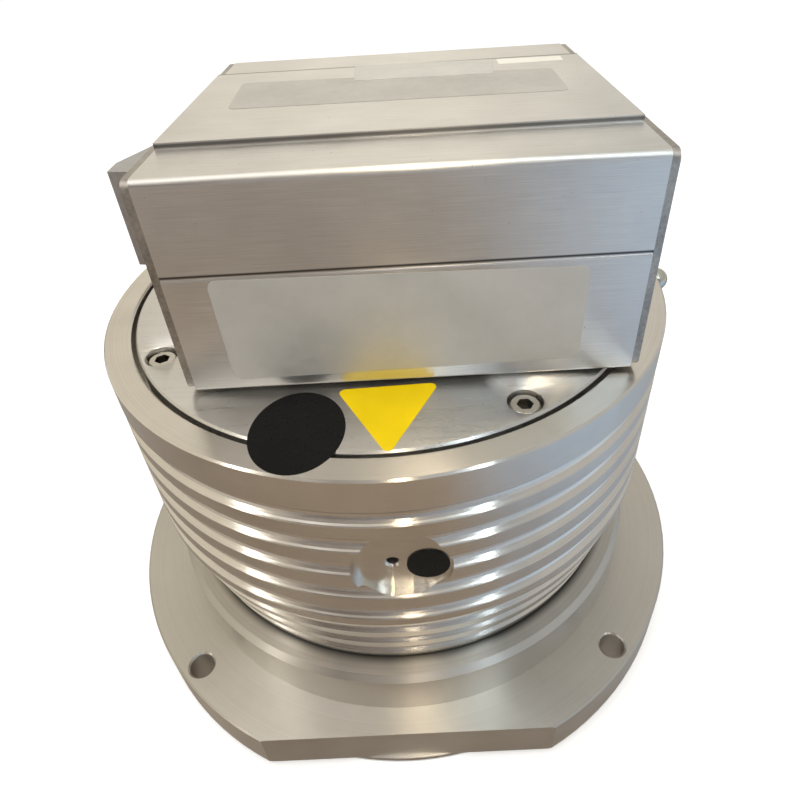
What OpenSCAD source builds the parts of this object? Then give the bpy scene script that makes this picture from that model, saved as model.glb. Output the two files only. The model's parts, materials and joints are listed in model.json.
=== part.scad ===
// Turbomolecular vacuum pump with its drive electronics, standing on its inlet flange.
// Origin: centre of the inlet flange's bolting face. +Z runs along the rotor axis towards the drive,
// -Y faces the side with the flat cut and the purge port. Millimetres.

/* [Inlet flange] */
// How far the flange stands out from the housing's side
flange_out = 20; // [18:0.5:30]
// Thickness of the inlet flange
flange_t = 17; // [13:0.5:24]
// Depth of the flat cut on the flange's rim
flat_cut = 11.4; // [9:0.2:14]
// Distance from the bolt circle to the flange's rim
bolt_edge = 7; // [7:0.5:9]
// Diameter of the bolt holes
bolt_hole_d = 9; // [6.6:0.1:9]
// Number of bolt holes
bolt_count = 4; // [4:4:8]
// Radial step from the bore out to the inlet mouth at the bolting face
mouth_step = 4; // [3:0.5:6]
// Height of the centring ring and its seal between the flanges
centring_h = 3; // [2:0.2:4]
// How far the centring ring's outer ring stays inside the flange's rim
centring_inset = 10.4; // [10:0.2:11]

/* [Ribbed housing] */
// Bore that holds the stator stack; the other diameters follow from it
bore_d = 144; // [138:0.5:152]
// Width of the end ring round the cover's recess
rim_w = 8.3; // [7.5:0.1:10]
// Height of the plain shoulder above the flange
shoulder_h = 19; // [16:0.5:22]
// Height of the ribbed housing above the shoulder
body_h = 96.5; // [96.5:0.5:104]
// Height of the plain band at the top
top_band_h = 11.5; // [10:0.5:12]
// Distance from one cooling groove to the next
groove_pitch = 10.6; // [10:0.1:10.8]
// Width of a cooling groove
groove_w = 5.4; // [4:0.1:6]
// Depth of a cooling groove, whose section is an arc
groove_depth = 2; // [1.4:0.1:2.5]
// Small chamfer on the ribs' edges
rib_edge = 0.3; // [0.2:0.1:0.5]
// Number of flats that make up a groove's hollow
groove_steps = 8; // [5:1:12]
// Number of cooling grooves
groove_count = 8; // [5:1:8]
// How far the ribs step in at the foot, where they meet the shoulder
foot_step = 8.4; // [5:0.1:9.4]
// Height above the shoulder over which the ribs taper in
taper_h = 34; // [24:1:45]
// Radial gap between the stack and its bore
stack_gap = 0.05; // [0.03:0.01:0.1]
// Small chamfer on turned edges
edge = 0.6; // [0.3:0.1:1]

/* [Port pocket] */
// Width of the milled pocket round the purge port
pocket_w = 28.6; // [25:0.1:30]
// Height of the milled pocket
pocket_h = 24; // [20:0.5:26]
// Sideways place of the pocket's centre
pocket_x = 3; // [0:0.2:6]
// Depth of the pocket's floor under the rib crests
pocket_depth = 3.4; // [2.5:0.1:5]
// Distance of the purge hole under the housing's end face
purge_drop = 36.4; // [33:0.1:37.5]
// Diameter of the threaded purge hole
purge_d = 3.3; // [3:0.1:5]
// Depth of the purge hole
purge_len = 10; // [8:0.5:12]
// Diameter of the vent cap beside the purge hole
cap_d = 12; // [9:0.1:12]
// Sideways distance from the purge hole to the vent cap
cap_step = 9.9; // [9.2:0.1:10.5]
// How far the vent cap stands out of the pocket's floor
cap_t = 0.5; // [0.4:0.1:2]

/* [Base cover] */
// Width of the ledge in the recess that the cover rests on
ledge_w = 14.7; // [14:0.1:16]
// Width of the groove left round the cover
cover_gap = 1.4; // [0.5:0.1:2]
// Thickness of the cover's rim
cover_t = 14; // [12:0.5:17]
// Radial distance from the bore to the cover screws
cover_screw_step = 7; // [6.8:0.1:8]
// Turn of the first cover screw from +X, in degrees
cover_turn = -60.6; // [-75:0.5:-50]
// Number of cover screws
cover_screws_n = 4; // [4:1:6]
// Thread diameter of the cover screws
cover_screw_d = 5; // [4:0.5:5]
// Cord thickness of the cover seal
cover_seal_t = 2.4; // [2:0.1:2.6]

/* [Blading] */
// Height of the stator stack's seat above the bolting face
stack_z = 12; // [11:0.5:14]
// Number of rotor blade rows
rotor_rows = 6; // [4:1:6]
// Axial height of a rotor blade row
rotor_row_h = 6; // [5:0.1:6.2]
// Axial height of a stator blade row
stator_row_h = 3.4; // [3:0.1:3.6]
// Axial gap between rotor and stator rows
row_gap = 0.8; // [0.6:0.05:1]
// Radial room for the spacer rings between the blade tips and the bore
tip_room = 3; // [2.8:0.1:4]
// Diameter of the rotor's hub
hub_d = 76; // [74:0.5:80]
// Blades in a rotor row
rotor_blades = 24; // [16:4:28]
// Blades in a stator row
stator_blades = 24; // [16:4:28]
// Blade thickness
blade_t = 1.4; // [1:0.1:1.8]
// Blade angle of the first row, from the plane of rotation
blade_angle_first = 42; // [36:1:45]
// Blade angle of the last row
blade_angle_last = 24; // [22:1:34]

/* [Drag stage] */
// Wall of the drag stator outside its channels
drag_wall = 10.25; // [9:0.25:12]
// Wall of the drag sleeve
sleeve_wall = 2; // [1.5:0.1:2.5]
// Radial gap between sleeve and drag stator
drag_gap = 0.7; // [0.6:0.05:0.8]
// Depth of the drag stator's channels
channel_depth = 3; // [2:0.1:4]
// Number of slanted ridges between the channels
ridge_count = 10; // [8:1:12]
// Slant of the ridges from the plane of rotation
ridge_angle = 44; // [42:1:55]
// Thickness of a ridge
ridge_t = 4; // [3:0.1:5]
// Height of the outlet ring above the drag stator
outlet_h = 16.5; // [16:0.5:20]

/* [Shaft and bearings] */
// Shaft diameter in the bearings
journal_d = 10; // [8:0.5:11]
// Shaft diameter between the bearings
shaft_d = 16; // [14:0.5:17]
// Outer diameter of the bearings
bearing_d = 26; // [25:0.5:28]
// Width of the bearings
bearing_w = 8; // [7:0.5:8]
// Ball diameter
ball_d = 4.8; // [4:0.1:5]
// Balls in each bearing
ball_count = 7; // [6:1:8]
// Radial thickness of the damper rings round the bearings
damper_t = 2; // [1.5:0.1:2.5]
// Running gap between ball and races
race_gap = 0.05; // [0.03:0.01:0.08]

/* [Motor] */
// Outer diameter of the motor housing
motor_d = 62; // [60:0.5:63]
// Wall of the motor housing round the laminations
motor_wall = 4; // [3:0.5:5]
// Height of the lamination stack
lamination_h = 26; // [20:1:28]
// Outer diameter of the motor magnet
magnet_d = 24; // [22:0.5:25]
// Air gap between magnet and laminations
air_gap = 0.8; // [0.5:0.1:1.2]
// Number of stator teeth
tooth_count = 6; // [6:3:9]
// Overhang of the windings at each end
winding_h = 4; // [3:0.5:5]

/* [Foreline port] */
// Bore of the foreline port
port_bore_d = 16; // [14:0.5:16]
// Diameter of the port's clamp flange
port_flange_d = 30; // [28:0.5:32]
// Reach of the port from the axis
port_reach = 128; // [122:1:140]
// Distance of the port's axis under the end face of the housing
port_drop = 23.5; // [23:0.1:24]
// Diameter of the port's round foot
port_foot_d = 34; // [33:0.5:36]

/* [Drive box] */
// Length of the extruded shells between the end plates
box_l = 122; // [110:1:130]
// Depth of the box, front to back
box_w = 122; // [110:1:126]
// Height of the lower shell
box_low_h = 36.2; // [33:0.2:40]
// Height of the upper shell at its front and rear strips
box_high_h = 24.9; // [22:0.1:28]
// Height of the raised panel above the strips
panel_h = 1.7; // [1:0.1:3]
// Width of the strip in front of the raised panel
strip_w = 21; // [16:0.5:26]
// Width of the strip behind the raised panel
strip_rear_w = 28.4; // [22:0.2:32]
// Wall of the shells
shell_wall = 2.5; // [2:0.1:3]
// Rounding of the long outer edges
box_round = 2; // [1:0.1:2.5]
// Thickness of the end plates
plate_t = 2; // [1.5:0.1:3]
// Sideways place of the box's centre
box_x = 8.7; // [6:0.1:10]
// Front-to-back place of the box's centre
box_y = 2.2; // [0:0.1:4]
// Gap between the box and the base cover
box_gap = 1.1; // [0.8:0.1:3]

/* [Hidden] */
$fn = 96;
eps = 0.01;

// heights
flange_top = flange_t;
shoulder_top = flange_top + shoulder_h;
ring_top = shoulder_top + body_h;
ledge_z = ring_top - cover_t;

// diameters, from the bore outwards
bore_r = bore_d / 2;
stack_r = bore_r - stack_gap;
recess_r = bore_r + ledge_w;
body_r = recess_r + rim_w;
foot_r = body_r - foot_step;
flange_d = 2 * (body_r + flange_out);
flange_flat = flange_d / 2 - flat_cut;
bolt_pcd = flange_d - 2 * bolt_edge;
mouth_d = bore_d + 2 * mouth_step;
centring_d = flange_d - 2 * centring_inset;
cover_pcd = bore_d + 2 * cover_screw_step;

mouth_z = 3;

// blading: rows stack up from the seat
tip_r = bore_r - tip_room;
hub_r = hub_d / 2;
first_row_z = stack_z + 1;
row_pitch = rotor_row_h + stator_row_h + 2 * row_gap;
stator_rows = 5;
tip_gap = 1;
stack_in_r = tip_r + tip_gap;
stator_hub_gap = 1;
function rotor_z(i) = first_row_z + i * row_pitch;
function stator_z(i) = rotor_z(i) + rotor_row_h + row_gap;
function row_angle(i) = blade_angle_first + (blade_angle_last - blade_angle_first) * i / (rotor_rows - 1);

// drag stage
web_z = rotor_z(stator_rows) + rotor_row_h;
web_t = 4;
drag_z = web_z + web_t;
drag_top = ledge_z - outlet_h;
drag_h = drag_top - drag_z;
drag_in_r = stack_r - drag_wall - channel_depth;
sleeve_r = drag_in_r - drag_gap;
sleeve_in_r = sleeve_r - sleeve_wall;
spigot_t = 2;
spigot_h = 4;
inner_stator_gap = 1.5;

// motor and bearings, hung from the base cover inside the rotor's bell
motor_r = motor_d / 2;
motor_in_r = motor_r - motor_wall;
bell_gap = 2;
bell_r = motor_r + bell_gap;
bell_floor = rotor_z(2) + rotor_row_h;
motor_z = bell_floor + 2;
bearing_r = bearing_d / 2;
journal_r = journal_d / 2;
shaft_r = shaft_d / 2;
race_t = (bearing_r - journal_r) * 0.3;
ball_circle_r = (bearing_r + journal_r) / 2;
seat_r = bearing_r + damper_t;
lower_bearing_z = motor_z + 3;
upper_bearing_z = ledge_z - 4 - bearing_w;
lamination_z = (lower_bearing_z + bearing_w + upper_bearing_z - lamination_h) / 2;
magnet_r = magnet_d / 2;
lamination_in_r = magnet_r + air_gap;
carrier_z = upper_bearing_z - 2;
motor_flange_w = 12;
motor_flange_r = motor_r + motor_flange_w;
motor_flange_t = 5;
motor_screw_n = 6;
motor_screw_r = motor_r + motor_flange_w / 2;
boss_out_r = sleeve_in_r - inner_stator_gap;
boss_in_r = motor_flange_r + 0.3;
boss_z = drag_z + spigot_h + 6;

// feedthrough
feed_r = 17;
feed_t = 3;
feed_hole_r = 9.5;
feed_seal_t = 1.8;
feed_seal_r = feed_hole_r + 2.2;
pin_count = 8;
pin_circle_r = 6;
pin_d = 1.6;
pin_top = ring_top + 8;

// foreline port
port_z = ring_top - port_drop;
port_bore_r = port_bore_d / 2;
port_foot_r = port_foot_d / 2;
port_foot_t = 6;
port_face_y = body_r - 4.2;
port_hole_r = 6;
port_screw_n = 4;
port_screw_r = 13.2;
port_screw_d = 3;
port_sink = 2.5;
port_thread = 4;

// purge port
purge_z = ring_top - purge_drop;
pocket_floor_y = -(body_r - pocket_depth);
cap_drop = 1.2;

// drive box
box_z = ring_top + box_gap;
seam_z = box_z + box_low_h;
strip_z = seam_z + box_high_h;
panel_z = strip_z + panel_h;
box_x0 = box_x - box_l / 2;
box_x1 = box_x + box_l / 2;
box_y0 = box_y - box_w / 2;
box_y1 = box_y + box_w / 2;
plate_margin = 0.6;
plate_screw_y = box_w / 2 - 14;
plate_screw_z = 5;
plate_screw_d = 3;
drive_screw_x = 42;
drive_screw_y = 34;

// ---------- shared shapes ----------

// Ring between two radii
module ring(r_out, r_in, h, z = 0) {
    translate([0, 0, z])
        difference() {
            cylinder(r = r_out, h = h);
            translate([0, 0, -eps]) cylinder(r = r_in, h = h + 2 * eps);
        }
}

// Round cord lying in a circle
module cord_ring(circle_r, cord_d, z) {
    translate([0, 0, z])
        rotate_extrude() translate([circle_r, 0]) circle(d = cord_d, $fn = 24);
}

// Copies round the axis
module around(count, start = 0) {
    for (i = [0 : count - 1]) rotate([0, 0, start + i * 360 / count]) children();
}

// Socket head cap screw, head top at z = 0, pointing down
module cap_screw(d, length) {
    head_r = 0.83 * d;
    head_edge = 0.07 * d;
    difference() {
        rotate_extrude() polygon([
            [0, -d - length], [d / 2, -d - length], [d / 2, -d], [head_r, -d], [head_r, -head_edge],
            [head_r - head_edge, 0], [0, 0]
        ]);
        translate([0, 0, -d * 0.55]) cylinder(d = d * 0.95, h = d, $fn = 6);
    }
}

// Low round-headed screw, underside of the head at z = 0, pointing down
module pan_screw(d, length) {
    difference() {
        union() {
            intersection() {
                cylinder(d = 2 * d, h = d * 0.7);
                translate([0, 0, -d * 1.05]) sphere(d = 3.5 * d);
            }
            translate([0, 0, -length]) cylinder(d = d, h = length + eps);
        }
        translate([0, 0, d * 0.3]) cylinder(d = d * 0.8, h = d, $fn = 6);
    }
}

// Rounded rectangle from (x0, y0) to (x1, y1) with corner radius r
module rounded_rect(x0, y0, x1, y1, r) {
    translate([x0 + r, y0]) square([x1 - x0 - 2 * r, y1 - y0]);
    translate([x0, y0 + r]) square([x1 - x0, y1 - y0 - 2 * r]);
    for (x = [x0 + r, x1 - r]) for (y = [y0 + r, y1 - r]) translate([x, y]) circle(r = r, $fn = 32);
}

// ---------- main housing ----------

// Radius of the ribs' envelope at a height above the bolting face
function envelope_r(z) =
    z >= shoulder_top + taper_h ? body_r
    : foot_r + (body_r - foot_r) * (z - shoulder_top) / taper_h;

// Half section of the housing without its grooves
module housing_profile() {
    polygon([
        [mouth_d / 2, 0], [flange_d / 2 - edge, 0], [flange_d / 2, edge],
        [flange_d / 2, flange_top - edge], [flange_d / 2 - edge, flange_top], [body_r, flange_top],
        [body_r, shoulder_top - edge], [body_r - edge, shoulder_top], [foot_r, shoulder_top],
        [body_r, shoulder_top + taper_h], [body_r, ring_top - edge], [body_r - edge, ring_top],
        [recess_r + edge, ring_top], [recess_r, ring_top - edge], [recess_r, ledge_z],
        [bore_r, ledge_z], [bore_r, stack_z], [stack_in_r, stack_z],
        [stack_in_r, stack_z - 4], [mouth_d / 2, mouth_z]
    ]);
}

// Section of one cooling groove: an arc between chamfered lips
module groove_profile(z_top) {
    z0 = z_top - groove_w;
    lip_low = envelope_r(z0);
    lip_high = envelope_r(z_top);
    arc_r = (groove_w * groove_w / 4 + groove_depth * groove_depth) / (2 * groove_depth);
    half_turn = asin(groove_w / 2 / arc_r);
    arc_x = (lip_low + lip_high) / 2 - groove_depth + arc_r;
    out = body_r + 2;
    polygon(concat(
        [for (i = [1 : groove_steps - 1])
            let (a = 180 + half_turn - 2 * half_turn * i / groove_steps)
            [arc_x + arc_r * cos(a), z0 + groove_w / 2 + arc_r * sin(a)]],
        [[lip_high - rib_edge, z_top], [out, z_top + rib_edge + out - lip_high],
         [out, z0 - rib_edge - out + lip_low], [lip_low - rib_edge, z0]]
    ));
}

module pocket_outline() {
    rounded_rect(-pocket_w / 2, -pocket_h / 2, pocket_w / 2, pocket_h / 2, pocket_h / 2 - 0.5);
}

module main_housing() {
    color("silver")
    difference() {
        rotate_extrude($fn = 180) difference() {
            housing_profile();
            for (i = [0 : groove_count - 1]) groove_profile(ring_top - top_band_h - i * groove_pitch);
        }
        // flat cut on the flange
        translate([-flange_d, -flange_flat - flange_d, -1]) cube([2 * flange_d, flange_d, flange_t + 2]);
        // bolt holes with chamfered rims
        around(bolt_count, 45) translate([bolt_pcd / 2, 0, 0]) {
            translate([0, 0, -1]) cylinder(d = bolt_hole_d, h = flange_t + 2, $fn = 48);
            translate([0, 0, flange_top - edge])
                cylinder(d1 = bolt_hole_d, d2 = bolt_hole_d + 2 * edge + 0.02, h = edge + eps, $fn = 48);
        }
        // groove for the cover seal
        rotate_extrude() translate([cover_seal_r - cover_seal_t * 0.6, ledge_z - cover_seal_t])
            square([cover_seal_t * 1.2, cover_seal_t + 1]);
        // tapped holes for the cover screws
        around(cover_screws_n, cover_turn) translate([cover_pcd / 2, 0, ledge_z - cover_thread - 1])
            cylinder(d = cover_screw_d, h = cover_thread + 2, $fn = 32);
        // milled pocket with its two holes
        translate([pocket_x, pocket_floor_y, purge_z]) rotate([90, 0, 0])
            linear_extrude(3 * pocket_depth) pocket_outline();
        translate([purge_x, pocket_floor_y + purge_len, purge_z]) rotate([90, 0, 0])
            cylinder(d = purge_d, h = purge_len + 10, $fn = 32);
        translate([purge_x, pocket_floor_y + edge, purge_z]) rotate([90, 0, 0])
            cylinder(d1 = purge_d, d2 = purge_d + 2 * edge + 2 * eps, h = edge + eps, $fn = 32);
        translate([purge_x + cap_step, pocket_floor_y + cap_plug_len, purge_z - cap_drop]) rotate([90, 0, 0])
            cylinder(d = cap_plug_d, h = cap_plug_len + 10, $fn = 32);
        // foreline port: flat seat, gas hole and tapped holes
        translate([0, port_face_y, port_z]) rotate([-90, 0, 0]) {
            cylinder(r = port_foot_r + 1, h = 20);
            translate([0, 0, bore_r - port_face_y - 10])
                cylinder(r = port_hole_r, h = port_face_y - bore_r + 11);
            around(port_screw_n, 45) translate([port_screw_r, 0, -port_thread])
                cylinder(d = port_screw_d, h = port_thread + 1, $fn = 24);
        }
        // tapped hole for the earth screw
        translate([body_r - 6, 0, earth_z]) rotate([0, 90, 0]) cylinder(d = 4, h = 8, $fn = 24);
    }
}

cover_seal_r = bore_r + 0.9 + cover_seal_t * 0.6;
cover_thread = 12;
purge_x = 0.5;
cap_plug_d = 7;
cap_plug_len = 5;
earth_z = ring_top - 5.6;

centring_rim = 3.5;
centring_wall = 3;
spigot_gap = 0.15;
seal_circle_r = mouth_d / 2 + centring_rim + centring_h / 2;

// Inner ring with a spigot in the mouth, and the outer ring that stops the seal from spreading
module centring_ring() {
    inner_r = mouth_d / 2 - spigot_gap;
    color("silver") {
        rotate_extrude() polygon([
            [inner_r - centring_wall, -centring_h], [seal_circle_r - centring_h / 2, -centring_h],
            [seal_circle_r - centring_h / 2, 0], [inner_r, 0], [inner_r, mouth_z - spigot_gap],
            [inner_r - centring_wall, mouth_z - spigot_gap - 1]
        ]);
        // the outer ring makes way for the flange's bolts
        difference() {
            ring(centring_d / 2, seal_circle_r + centring_h / 2, centring_h, -centring_h);
            around(bolt_count, 45) translate([bolt_pcd / 2, 0, -centring_h - 1])
                cylinder(d = bolt_hole_d + 1, h = centring_h + 2, $fn = 48);
        }
    }
}

// Seal between the two rings, drawn at its height when bolted up
module inlet_seal() {
    color("dimgray") cord_ring(seal_circle_r, centring_h, -centring_h / 2);
}

// Guard against falling parts: rings and spokes across the mouth
module inlet_screen() {
    bar = 1.2;
    rim_r = mouth_at(screen_z + screen_t) - eps;
    color("gainsboro")
    translate([0, 0, screen_z]) linear_extrude(screen_t) difference() {
        circle(r = rim_r);
        for (i = [0 : screen_rings - 1]) difference() {
            circle(r = rim_r - 2.5 - i * screen_pitch);
            circle(r = rim_r - 2.5 - (i + 1) * screen_pitch + bar);
            around(screen_spokes, i * 15) translate([0, -bar / 2]) square([rim_r, bar]);
        }
        circle(r = rim_r - 2.5 - screen_rings * screen_pitch);
    }
}

screen_z = 4.6;
screen_t = 1;
screen_rings = 6;
screen_pitch = 10;
screen_spokes = 12;

// Radius of the flared mouth at a height
function mouth_at(z) = mouth_d / 2 - (mouth_d / 2 - stack_in_r) * (z - mouth_z) / (stack_z - 4 - mouth_z);

// ---------- stator stack ----------

module spacer(z0, z1) {
    color("lightgray") ring(stack_r, stack_in_r, z1 - z0, z0);
}

module spacer_ring_1() { spacer(stack_z, stator_z(0)); }
module spacer_ring_2() { spacer(stator_z(0) + stator_row_h, stator_z(1)); }
module spacer_ring_3() { spacer(stator_z(1) + stator_row_h, stator_z(2)); }
module spacer_ring_4() { spacer(stator_z(2) + stator_row_h, stator_z(3)); }
module spacer_ring_5() { spacer(stator_z(3) + stator_row_h, stator_z(4)); }
module spacer_ring_6() { spacer(stator_z(4) + stator_row_h, drag_z); }

// A row of flat blades set at an angle to the plane of rotation
module blade_row(r_in, r_out, h, count, angle, z, hand, thick = blade_t) {
    run = (h + 2) / tan(angle);
    skew = thick / sin(angle) / 2;
    translate([0, 0, z])
        intersection() {
            for (i = [0 : count - 1]) rotate([0, 0, i * 360 / count])
                translate([r_in, 0, 0]) rotate([90, 0, 90])
                    linear_extrude(r_out - r_in + 2)
                        polygon([[-hand * run / 2 - skew, -1], [-hand * run / 2 + skew, -1],
                                 [hand * run / 2 + skew, h + 1], [hand * run / 2 - skew, h + 1]]);
            cylinder(r = r_out, h = h);
        }
}

module stator_disc(i) {
    z = stator_z(i);
    inner_r = hub_r + stator_hub_gap;
    color("lightsteelblue")
    difference() {
        union() {
            ring(stack_r, stack_in_r - 1, stator_row_h, z);
            ring(inner_r + 2.5, inner_r, stator_row_h, z);
            blade_row(inner_r + 1, stack_in_r, stator_row_h, stator_blades, row_angle(i), z, -1);
        }
        // the disc is made in two halves
        translate([-0.05, -stack_r - 1, z - 1]) cube([0.1, 2 * stack_r + 2, stator_row_h + 2]);
    }
}

module stator_disc_1() { stator_disc(0); }
module stator_disc_2() { stator_disc(1); }
module stator_disc_3() { stator_disc(2); }
module stator_disc_4() { stator_disc(3); }
module stator_disc_5() { stator_disc(4); }

// Outer wall of the drag stage with slanted ridges inside
module drag_stator() {
    wall_in_r = drag_in_r + channel_depth;
    color("silver")
    difference() {
        union() {
            ring(stack_r, wall_in_r, drag_h, drag_z);
            blade_row(drag_in_r - 3 * channel_depth, wall_in_r + 1, drag_h, ridge_count, ridge_angle,
                      drag_z, -1, ridge_t);
        }
        translate([0, 0, drag_z - 1]) cylinder(r = drag_in_r, h = drag_h + 2);
    }
}

// Distance ring that clamps the stack and lets the gas out to the port
module outlet_ring() {
    color("lightgray")
    difference() {
        ring(stack_r, bore_r - 3, outlet_h, drag_top);
        around(8) translate([0, 0, port_z]) rotate([-90, 0, 0]) cylinder(r = port_hole_r, h = bore_r + 5);
    }
}

// ---------- base cover ----------

drive_screw_d = 4;
drive_thread = 8;
motor_screw_d = 4;
motor_thread = 8;
counterbore_d = 2 * cover_screw_d;
screw_sink = 1.2;
cover_r = recess_r - cover_gap;

module drive_screw_places() {
    for (x = [box_x - drive_screw_x, box_x + drive_screw_x])
        for (y = [box_y - drive_screw_y, box_y + drive_screw_y]) translate([x, y, 0]) children();
}

// Closes the housing; its boss below is the inner wall of the drag stage
module base_cover() {
    color("gainsboro")
    difference() {
        rotate_extrude($fn = 180) polygon([
            [feed_hole_r, ledge_z], [boss_in_r, ledge_z], [boss_in_r, boss_z], [boss_out_r, boss_z],
            [boss_out_r, ledge_z], [cover_r, ledge_z], [cover_r, ring_top - edge],
            [cover_r - edge, ring_top], [feed_hole_r, ring_top]
        ]);
        around(cover_screws_n, cover_turn) translate([cover_pcd / 2, 0, 0]) {
            translate([0, 0, ledge_z - 1]) cylinder(d = cover_screw_d * 1.1, h = cover_t + 2, $fn = 32);
            translate([0, 0, ring_top - cover_screw_d - screw_sink])
                cylinder(d = counterbore_d, h = cover_screw_d + 1, $fn = 48);
        }
        around(motor_screw_n) translate([motor_screw_r, 0, ledge_z - 1])
            cylinder(d = motor_screw_d, h = motor_thread + 1, $fn = 32);
        drive_screw_places() translate([0, 0, ring_top - drive_thread])
            cylinder(d = drive_screw_d, h = drive_thread + 1, $fn = 32);
        around(4, 45) translate([feed_screw_r, 0, ring_top - 6]) cylinder(d = feed_screw_d, h = 7, $fn = 24);
        rotate_extrude() translate([feed_seal_r - feed_seal_t * 0.6, ring_top - feed_seal_t])
            square([feed_seal_t * 1.2, feed_seal_t + 1]);
    }
}

module cover_seal() {
    color("dimgray") cord_ring(cover_seal_r, cover_seal_t, ledge_z - cover_seal_t / 2);
}

module cover_screws() {
    color("lightgray")
    around(cover_screws_n, cover_turn) translate([cover_pcd / 2, 0, ring_top - screw_sink])
        cap_screw(cover_screw_d, cover_t - cover_screw_d - screw_sink + cover_thread);
}

module vent_cap() {
    color([0.05, 0.05, 0.05])
    translate([purge_x + cap_step, pocket_floor_y, purge_z - cap_drop]) rotate([90, 0, 0]) {
        cylinder(d = cap_d, h = cap_t, $fn = 64);
        translate([0, 0, -cap_plug_len]) cylinder(d = cap_plug_d, h = cap_plug_len + eps, $fn = 32);
    }
}

// Protective earth terminal on the end ring: washer and domed screw
module earth_screw() {
    head_r = 4.1;
    head_h = 2.4;
    washer_t = 1;
    color("tan")
    translate([body_r, 0, earth_z]) rotate([0, 90, 0]) {
        difference() {
            cylinder(r = head_r + 0.5, h = washer_t, $fn = 48);
            translate([0, 0, -1]) cylinder(r = 2.2, h = washer_t + 2, $fn = 24);
        }
        translate([0, 0, -5]) cylinder(d = 4, h = 5 + washer_t + eps, $fn = 24);
        rotate_extrude() difference() {
            union() {
                translate([0, washer_t]) square([head_r, head_h - washer_t]);
                translate([0, head_h]) circle(r = head_r);
            }
            translate([-2 * head_r, -head_r]) square([2 * head_r, 4 * head_r]);
            translate([-head_r, washer_t - 4 * head_r]) square([3 * head_r, 4 * head_r]);
        }
    }
}

// ---------- foreline port ----------

module foreline_port() {
    neck_r = port_bore_r + 2;
    clamp_t = 3;
    face = port_reach - port_face_y;
    color("lightgray")
    difference() {
        translate([0, port_face_y, port_z]) rotate([-90, 0, 0]) {
            rotate_extrude() polygon([
                [port_bore_r, 0], [port_foot_r, 0], [port_foot_r, port_foot_t], [neck_r, port_foot_t + 1],
                [neck_r, face - clamp_t - (port_flange_d / 2 - neck_r) * tan(15)],
                [port_flange_d / 2, face - clamp_t], [port_flange_d / 2, face], [port_bore_r + 0.6, face],
                [port_bore_r + 0.6, face - 3], [port_bore_r, face - 3]
            ]);
        }
        translate([0, port_face_y, port_z]) rotate([-90, 0, 0]) {
            around(port_screw_n, 45) translate([port_screw_r, 0, 0]) {
                translate([0, 0, -1]) cylinder(d = port_screw_d * 1.1, h = port_foot_t + 3, $fn = 24);
                translate([0, 0, port_foot_t - port_sink])
                    cylinder(d = port_screw_d * 1.9, h = port_sink + 2, $fn = 32);
            }
            rotate_extrude() translate([port_seal_r - port_seal_t * 0.6, -1])
                square([port_seal_t * 1.2, port_seal_t + 1]);
        }
    }
}

port_seal_t = 1.6;
port_seal_r = port_bore_r + 1.5;

module foreline_seal() {
    color("dimgray")
    translate([0, port_face_y, port_z]) rotate([-90, 0, 0])
        cord_ring(port_seal_r, port_seal_t, port_seal_t / 2);
}

module foreline_screws() {
    color("gray")
    translate([0, port_face_y, port_z]) rotate([-90, 0, 0])
        around(port_screw_n, 45) translate([port_screw_r, 0, port_foot_t - port_sink + port_screw_d])
            cap_screw(port_screw_d, port_foot_t - port_sink + port_thread - 0.4);
}

// ---------- motor and bearing parts that stand still ----------

module motor_housing() {
    color("silver")
    difference() {
        rotate_extrude() polygon([
            [seat_r - 1, motor_z], [motor_r - 1, motor_z], [motor_r, motor_z + 1],
            [motor_r, ledge_z - motor_flange_t], [motor_flange_r, ledge_z - motor_flange_t],
            [motor_flange_r, ledge_z], [motor_in_r, ledge_z],
            [motor_in_r, lower_bearing_z + bearing_w + 3],
            [bearing_r - race_t / 2, lower_bearing_z + bearing_w + 3],
            [bearing_r - race_t / 2, lower_bearing_z + bearing_w], [seat_r, lower_bearing_z + bearing_w],
            [seat_r, lower_bearing_z], [seat_r - 1, lower_bearing_z]
        ]);
        around(motor_screw_n) translate([motor_screw_r, 0, ledge_z - motor_flange_t - 1])
            cylinder(d = motor_screw_d * 1.1, h = motor_flange_t + 2, $fn = 32);
    }
}

module motor_housing_screws() {
    color("gray")
    around(motor_screw_n) translate([motor_screw_r, 0, ledge_z - motor_flange_t - motor_screw_d])
        mirror([0, 0, 1]) cap_screw(motor_screw_d, motor_flange_t + motor_thread - 1);
}

// Carries the upper bearing inside the motor housing
module bearing_carrier() {
    color("lightgray")
    difference() {
        rotate_extrude() polygon([
            [bearing_r - race_t / 2, carrier_z], [motor_in_r - stack_gap, carrier_z],
            [motor_in_r - stack_gap, ledge_z], [seat_r, ledge_z], [seat_r, upper_bearing_z],
            [bearing_r - race_t / 2, upper_bearing_z]
        ]);
        around(3, 30) translate([(seat_r + motor_in_r) / 2, 0, carrier_z - 1])
            cylinder(r = 3.2, h = ledge_z - carrier_z + 2, $fn = 32);
    }
}

// Wave washer that presses the upper bearing down
module preload_spring() {
    steps = 48;
    waves = 3;
    t = 0.6;
    z_low = upper_bearing_z + bearing_w;
    swing = (ledge_z - z_low - t) / 2;
    in_r = bearing_r - race_t + 0.3;
    out_r = bearing_r - 0.2;
    function wave_z(i) = z_low + swing * (1 + cos(i * 360 / steps * waves));
    points = [for (i = [0 : steps - 1]) for (c = [[in_r, 0], [out_r, 0], [out_r, t], [in_r, t]])
        [c[0] * cos(i * 360 / steps), c[0] * sin(i * 360 / steps), wave_z(i) + c[1]]];
    faces = [for (i = [0 : steps - 1]) for (c = [0 : 3])
        [4 * i + c, 4 * i + (c + 1) % 4, 4 * ((i + 1) % steps) + (c + 1) % 4, 4 * ((i + 1) % steps) + c]];
    color("steelblue") polyhedron(points, faces, convexity = 4);
}

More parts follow.
